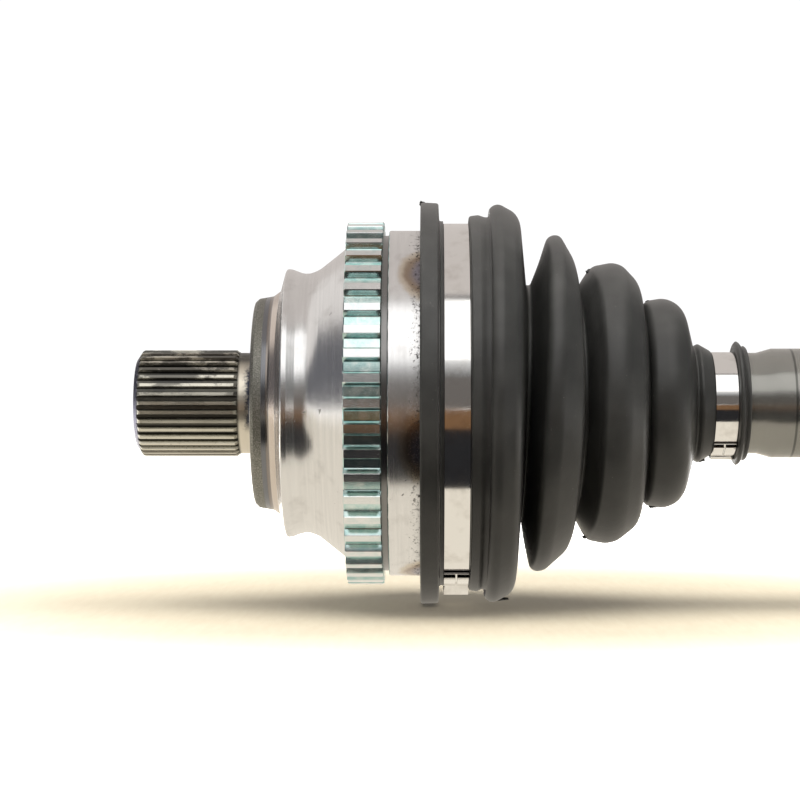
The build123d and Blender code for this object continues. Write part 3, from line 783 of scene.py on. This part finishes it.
# %% Housing steel
def housing_steel():
    """Oily splines, rough collar edge and bright turned bell in one finish."""
    f = Finish("housing_steel_finish", (0.55, 0.54, 0.52), 1.0, 0.3)
    lines = f.lathe_lines(4.5)
    broad = f.lathe_lines(0.9, 1.4)
    cloud = f.noise(f.place, 0.12, 4.0)
    fine = f.noise(f.place, 1.3, 4.0, 0.65)
    base = f.blend(broad, (0.80, 0.795, 0.79), (0.66, 0.655, 0.65))
    base = f.blend(f.math("MULTIPLY", f.step(cloud, 0.5, 0.8), 0.4), base, (0.40, 0.38, 0.36))
    rough = f.math("ADD", f.between(lines, 0.16, 0.28), f.math("MULTIPLY", cloud, 0.05))

    # smudges and small dents on the bell
    dent = f.step(f.noise(f.place, 0.22, 3.0, 0.7, 1.2), 0.69, 0.76)
    base = f.blend(f.math("MULTIPLY", dent, 0.6), base, (0.12, 0.11, 0.10))
    rough = f.math("ADD", rough, f.math("MULTIPLY", dent, 0.25))

    # tint marks and rust specks by the boot's lip
    cylinder = f.window(f.x, 38.2, 56.0, 0.4)
    tint = f.math("MULTIPLY", heat_tint(f), cylinder)
    base = f.blend(f.step(tint, 0.02, 0.26, 0.6), base, (0.46, 0.36, 0.22))
    base = f.blend(f.step(tint, 0.22, 0.42, 0.8), base, (0.25, 0.18, 0.13))
    base = f.blend(f.step(tint, 0.40, 0.72, 0.85), base, (0.25, 0.24, 0.29))
    speck_field = f.math("ADD", f.noise(f.place, 0.9, 5.0, 0.85), f.step(f.x, 40.0, 47.0, 0.17))
    speck = f.math("MULTIPLY", f.step(speck_field, 0.70, 0.75), cylinder)
    base = f.blend(f.math("MULTIPLY", speck, 0.85), base, (0.05, 0.04, 0.035))
    rough = f.math("ADD", rough, f.math("MULTIPLY", speck, 0.4))

    # collar: mottled skin at its edge, then a dark band, a pale tan line and the bright ridge
    collar = f.math("MULTIPLY", f.window(f.x, 0.3, 3.1, 0.25), f.step(f.r, 27.0, 28.5))
    mottle = f.noise(f.place, 3.4, 5.0, 0.75)
    skin = f.blend(f.step(mottle, 0.40, 0.66), (0.15, 0.15, 0.13), (0.40, 0.39, 0.35))
    base = f.blend(collar, base, skin)
    rough = f.math("ADD", rough, f.math("MULTIPLY", collar, 0.25))
    base = f.blend(f.math("MULTIPLY", f.window(f.x, 3.3, 4.4, 0.3), 0.85), base, (0.10, 0.105, 0.12))
    base = f.blend(f.math("MULTIPLY", f.window(f.x, 4.6, 5.3, 0.3), 0.8), base, (0.16, 0.125, 0.10))
    base = f.blend(f.math("MULTIPLY", f.window(f.x, 5.6, 7.0, 0.3), 0.7), base, (0.58, 0.48, 0.40))

    # front face of the collar, dull and stained
    face = f.math("MULTIPLY", f.step(f.x, 0.5, 0.15), f.step(f.r, 16.5, 18.0))
    base = f.blend(f.math("MULTIPLY", face, 0.7), base, (0.20, 0.19, 0.17))

    # stub: olive oil film, grease in the gaps, stains, a blued rim at its end
    stub = f.step(f.x, 0.2, -0.6)
    gap = f.step(f.math("MULTIPLY_ADD", fine, 0.5, f.r), 15.05, 14.6)
    stain = f.step(f.noise(f.vector("MULTIPLY", f.place, (0.45, 1, 1)), 0.14, 6.0, 0.72), 0.46, 0.55)
    upper = f.step(f.z, -6.0, 9.0)
    oil = f.blend(cloud, (0.52, 0.50, 0.42), (0.74, 0.72, 0.63))
    oil = f.blend(f.math("MULTIPLY", gap, 0.88), oil, (0.035, 0.034, 0.028))
    oil = f.blend(f.math("MULTIPLY", f.math("MULTIPLY", stain, upper), 0.8), oil, (0.05, 0.05, 0.05))
    oil = f.blend(f.math("MULTIPLY", f.step(fine, 0.60, 0.72), 0.55), oil, (0.09, 0.085, 0.07))
    oil = f.blend(f.step(f.x, -32.4, -33.4, 0.75), oil, (0.16, 0.16, 0.24))
    neck = f.window(f.x, -3.9, -0.9, 0.8)
    oil = f.blend(f.math("MULTIPLY", neck, f.step(f.z, 13.0, 9.0)), oil, (0.70, 0.65, 0.55))
    ragged = f.step(f.math("MULTIPLY_ADD", fine, 3.0, f.x), -1.6, 0.2)
    oil = f.blend(f.math("MULTIPLY", ragged, f.window(f.z, -5.0, 8.0, 4.0)), oil, (0.05, 0.055, 0.075))
    base = f.blend(stub, base, oil)
    rough = f.math("ADD", rough, f.math("MULTIPLY", stub, f.between(fine, 0.02, 0.22)))

    # painted shade: a dark band in the recess beside the ring, where its shadow falls
    base = f.blend(f.math("MULTIPLY", f.window(f.x, 36.5, 37.95, 0.1), 0.8), base, (0.10, 0.095, 0.09))

    # inside the bell and the bolt hole: grease over a hardened surface; the cone outside rises by 0.8 per mm
    under_cone = f.step(f.math("MULTIPLY_ADD", f.x, -0.8, f.r), 22.8, 22.0)
    under_bell = f.math("MULTIPLY", f.step(f.x, 12.2, 12.8), f.step(f.r, 44.0, 43.0))
    cavity = f.math("MULTIPLY", under_bell, under_cone)
    hollow = f.math("MAXIMUM", cavity, f.step(f.r, 9.6, 9.2))
    inside = f.math("MULTIPLY", hollow, 0.8)
    base = f.blend(inside, base, (0.07, 0.06, 0.045))
    normal = f.bump(lines, 0.16, 0.05)
    normal = f.bump(fine, f.math("MULTIPLY_ADD", f.math("MAXIMUM", stub, collar), 0.3, 0.02), 0.12, normal)
    return f.finish(base, rough, normal)


housing = housing_steel()

# %% [markdown]
# ### The shaft and the cup
# The shaft wears a thin dark olive coating over steel, rubbed a little along its top, with lathe lines
# showing through. The cup at the gearbox end is turned like the bell, but not as bright.


# %% Shaft coating
WELDS_X = (151.9, 366.0)


def shaft_coat():
    """Thin satin coating over turned steel."""
    f = Finish("shaft_coat_finish", (0.20, 0.20, 0.18), 0.9, 0.30)
    lines = f.lathe_lines(3.0, 1.2)
    cloud = f.noise(f.place, 0.07, 4.0)
    fine = f.noise(f.place, 1.1, 4.0, 0.7)
    stretched = f.vector("MULTIPLY", f.place, (0.25, 1.6, 1.6))
    scratch = f.step(f.noise(stretched, 1.0, 4.0, 0.75, 0.4), 0.70, 0.78)
    base = f.blend(cloud, (0.20, 0.20, 0.185), (0.29, 0.285, 0.265))
    base = f.blend(f.math("MULTIPLY", f.step(fine, 0.64, 0.75), 0.5), base, (0.30, 0.29, 0.26))
    base = f.blend(f.math("MULTIPLY", scratch, 0.5), base, (0.34, 0.33, 0.30))
    welds = [f.window(f.x, x - 0.2, x + 0.2, 0.25) for x in WELDS_X]
    weld = f.math("MAXIMUM", *welds)
    base = f.blend(f.math("MULTIPLY", weld, 0.6), base, (0.02, 0.02, 0.018))
    rough = f.math("ADD", f.between(cloud, 0.14, 0.22), f.math("MULTIPLY", lines, 0.08))
    normal = f.bump(lines, 0.12, 0.06)
    normal = f.bump(f.math("ADD", fine, f.math("MULTIPLY", weld, -1.5)), 0.10, 0.1, normal)
    return f.finish(base, rough, normal)


# %% Turned steel
def turned_steel(name, bright, dark, low_rough, high_rough, grease=0.0):
    """Plain turned or ground steel with lathe lines, stains and, if asked, grease."""
    f = Finish(name, bright, 1.0, low_rough)
    lines = f.lathe_lines(3.6, 1.0)
    cloud = f.noise(f.place, 0.1, 4.0)
    fine = f.noise(f.place, 0.9, 4.0, 0.7)
    base = f.blend(cloud, bright, dark)
    base = f.blend(f.math("MULTIPLY", f.step(fine, 0.66, 0.76), 0.6), base, tuple(0.3 * c for c in dark))
    film = f.step(f.noise(f.place, 0.2, 3.0), 0.35, 0.7, grease)
    base = f.blend(film, base, (0.09, 0.07, 0.045))
    rough = f.math("ADD", f.between(lines, low_rough, high_rough), f.math("MULTIPLY", cloud, 0.05))
    normal = f.bump(lines, 0.12, 0.05)
    normal = f.bump(fine, 0.06, 0.08, normal)
    return f.finish(base, rough, normal)


# %% Nylon
def nylon():
    """Cream moulded plastic."""
    f = Finish("nylon_finish", (0.66, 0.62, 0.50), 0.0, 0.45)
    cloud = f.noise(f.place, 0.25, 3.0)
    fine = f.noise(f.place, 2.0, 3.0)
    base = f.blend(cloud, (0.68, 0.64, 0.52), (0.50, 0.44, 0.30))
    return f.finish(base, f.between(fine, 0.38, 0.55), f.bump(fine, 0.1, 0.05))


coat = shaft_coat()
cup_steel = turned_steel("cup_steel_finish", (0.50, 0.49, 0.47), (0.34, 0.33, 0.31), 0.22, 0.38)
hard_steel = turned_steel("hard_steel_finish", (0.48, 0.47, 0.45), (0.30, 0.28, 0.25), 0.16, 0.30, 0.6)
ball_steel = turned_steel("ball_steel_finish", (0.74, 0.74, 0.73), (0.62, 0.61, 0.60), 0.04, 0.09, 0.25)
spring_steel = turned_steel("spring_steel_finish", (0.26, 0.26, 0.27), (0.16, 0.16, 0.17), 0.25, 0.4, 0.3)
cream_nylon = nylon()

# %% [markdown]
# ## Hand out the finishes
# Each CAD part's slot in the record says what it is made of, and that picks its finish. The new pieces get
# theirs by name.

# %% Assign
FINISHES = {
    "forged_steel": housing, "plated_ring": zinc, "hard_steel": hard_steel, "ball_steel": ball_steel,
    "spring_steel": spring_steel, "nylon": cream_nylon, "boot_rubber": rubber, "clamp_steel": bright_strip,
    "shaft_steel": coat,
}


def wear(piece, material):
    """Give a piece one material."""
    piece.data.materials.clear()
    piece.data.materials.append(material)


for part in frame["record"]["subparts"]:
    wear(nodes[part["node"]], FINISHES[part["material_slot"]])
wear(nodes["inner_joint_cup"], cup_steel)
for piece in outer_boot_pieces + inner_boot_pieces:
    wear(piece, rubber)
for piece in clamps.values():
    wear(piece, bright_strip)
wear(tone_ring, zinc)
print("finishes:", len(FINISHES) + 1)

# %% [markdown]
# ## Floor, cards and light
# Polished steel shows mostly what stands round it, so a studio hangs cards and a softbox: a white card in
# front and above, a warm grey one overhead, a dark one low in front, a cream one under the axle and grey
# ones at its ends. The cards here are seen only in reflections, so they leave the picture and the floor
# alone.

# %% Glow material
def glow(name, color, strength):
    """Material that gives off an even light."""
    material = bpy.data.materials.new(name)
    material.use_nodes = True
    tree = material.node_tree
    tree.nodes.clear()
    light = tree.nodes.new("ShaderNodeEmission")
    light.inputs["Color"].default_value = (*color, 1)
    light.inputs["Strength"].default_value = strength
    tree.links.new(light.outputs[0], tree.nodes.new("ShaderNodeOutputMaterial").inputs["Surface"])
    return material


def staged(name, points, faces, material, seen_by_camera):
    """Mesh that belongs to the studio. It is seen either by the camera only, or in reflections only."""
    mesh = bpy.data.meshes.new(name)
    mesh.from_pydata(points, [], faces)
    piece = bpy.data.objects.new(name, mesh)
    bpy.context.scene.collection.objects.link(piece)
    wear(piece, material)
    piece.visible_camera = seen_by_camera
    piece.visible_glossy = not seen_by_camera
    piece.visible_diffuse = False
    piece.visible_shadow = False
    piece.visible_transmission = False
    return piece


# %% Floor
FLOOR_Z = -0.0576
floor_mesh = bpy.data.meshes.new("floor")
floor_corners = [(x, y, FLOOR_Z) for x, y in ((-3, -2), (3.5, -2), (3.5, 4), (-3, 4))]
floor_mesh.from_pydata(floor_corners, [], [(0, 1, 2, 3)])
floor = bpy.data.objects.new("floor", floor_mesh)
bpy.context.scene.collection.objects.link(floor)
# The floor glows, which is painted light: a weak warm glow near the axle fills its shadow with cream, and the
# glow grows to strong white far off, where the cloth's colour also gives way to near white.
f = Finish("floor_cloth_and_painted_glow", (0.86, 0.84, 0.80), 0.0, 0.8)
weave = f.noise(f.vector("MULTIPLY", f.place, (1.0, 0.12, 1.0)), 0.55, 3.0)
across = f.vector("MULTIPLY", f.vector("ADD", f.place, (-60.0, -10.0, 0.0)), (0.8, 1.0, 0.0))
far = f.vector("LENGTH", across)
fade = f.step(far, 80.0, 320.0)
f.tree.links.new(f.between(fade, 0.07, 1.0), f.shader.inputs["Emission Strength"])
f.tree.links.new(f.blend(fade, (1.0, 0.92, 0.78), (1.0, 1.0, 0.99)), f.shader.inputs["Emission Color"])
cloth = f.blend(weave, (0.31, 0.28, 0.215), (0.26, 0.225, 0.165))
wear(floor, f.finish(f.blend(fade, cloth, (0.86, 0.85, 0.83)), None, f.bump(weave, 0.15, 0.4)))

# %% Backdrop
ROOM = 4.5
room_corners = [(x, y, z) for x in (-ROOM, ROOM) for y in (-ROOM, ROOM) for z in (-ROOM, ROOM)]
room_sides = [(0, 1, 3, 2), (4, 6, 7, 5), (0, 4, 5, 1), (2, 3, 7, 6), (0, 2, 6, 4), (1, 5, 7, 3)]
staged("backdrop", room_corners, room_sides, glow("backdrop_white", (1.0, 1.0, 1.0), 1.05), True)


# %% Cards
CARD_LEFT, CARD_RIGHT = -0.45, 0.60
CARD_POINTS = 24


def card(name, start_deg, end_deg, color, strength, distance=0.9):
    """Glowing strip bent round the axle, seen only in reflections. It covers a range of heights, as seen from
    the axle: 0 is level towards the camera and 90 straight up."""
    t = np.radians(np.linspace(start_deg, end_deg, CARD_POINTS))
    profile = np.stack([-distance * np.cos(t), distance * np.sin(t)], axis=1)
    grid = np.stack([np.column_stack([np.full(CARD_POINTS, x), profile]) for x in (CARD_LEFT, CARD_RIGHT)])
    faces = quads(2, CARD_POINTS, False, False).reshape(-1, 4).tolist()
    return staged(name, grid.reshape(-1, 3), faces, glow(name + "_glow", color, strength), False)


card("card_white", 26, 66, (1.0, 0.99, 0.98), 1.6)
card("card_edge", 66, 70, (0.40, 0.38, 0.37), 0.8)
card("card_overhead", 70, 178, (0.68, 0.63, 0.60), 1.0)
for step in range(5):
    card("card_fade_%d" % step, 16 + 2 * step, 18 + 2 * step, (0.50, 0.50, 0.50), 0.45 + 0.28 * step)
card("card_camera", -3.4, 16, (0.36, 0.33, 0.31), 0.46)
DARK_FAR, DARK_NEAR = -0.226, -0.070


# %% Flat cards
def flat_card(name, corners, color):
    """Flat glowing card with four corners, seen only in reflections."""
    return staged(name, corners, [(0, 1, 2, 3)], glow(name + "_glow", color, 1.0), False)


def low_corners(far_y, near_y, left_x=-0.01, right_x=0.5):
    """Corners of a card that lies just above the floor in front of the axle."""
    z = FLOOR_Z + 0.001
    return [(left_x, far_y, z), (right_x, far_y, z), (right_x, near_y, z), (left_x, near_y, z)]


def side_corners(x, first_y, last_y, low_z, high_z):
    """Corners of an upright card across the axle's direction."""
    return [(x, first_y, low_z), (x, last_y, low_z), (x, last_y, high_z), (x, first_y, high_z)]


flat_card("card_dark", low_corners(DARK_FAR, DARK_NEAR, -0.07), (0.022, 0.022, 0.024))
flat_card("card_wood", low_corners(-0.9, DARK_FAR, -0.4), (0.22, 0.12, 0.06))
flat_card("card_near", low_corners(DARK_NEAR, 0.09, -0.5, 0.3), (0.94, 0.87, 0.75))
flat_card("card_left_floor", low_corners(-0.34, DARK_NEAR, -0.5, -0.07), (0.85, 0.78, 0.66))
flat_card("card_left", side_corners(-0.75, -0.95, 0.35, -0.05, 0.48), (0.14, 0.142, 0.16))
flat_card("card_left_high", side_corners(-0.75, -0.95, 3.4, 0.50, 2.3), (0.92, 0.88, 0.85))
flat_card("card_right", side_corners(0.95, -0.95, 0.35, -0.03, 0.75), (0.24, 0.245, 0.26))


# %% Lights
def area_light(name, place, target, size, power, color):
    """Rectangular soft light aimed at a point."""
    data = bpy.data.lights.new(name, "AREA")
    data.shape = "RECTANGLE"
    data.size, data.size_y = size
    data.energy = power
    data.color = color
    light = bpy.data.objects.new(name, data)
    light.location = place
    light.rotation_euler = (Vector(target) - Vector(place)).to_track_quat("-Z", "Y").to_euler()
    light.visible_glossy = False
    light.visible_camera = False
    bpy.context.scene.collection.objects.link(light)


area_light("softbox", (0.05, -0.55, 0.85), (0.05, 0, 0), (1.1, 0.6), 7.0, (1.0, 0.99, 0.97))
area_light("top", (0.1, 0.0, 1.1), (0.1, 0.0, 0), (1.8, 1.0), 58.0, (1.0, 0.98, 0.95))

world = bpy.data.worlds.new("studio")
bpy.context.scene.world = world
world.use_nodes = True
world.node_tree.nodes["Background"].inputs["Color"].default_value = (1.0, 0.995, 0.98, 1)
world.node_tree.nodes["Background"].inputs["Strength"].default_value = 0.16
bpy.context.scene.view_settings.view_transform = "Standard"
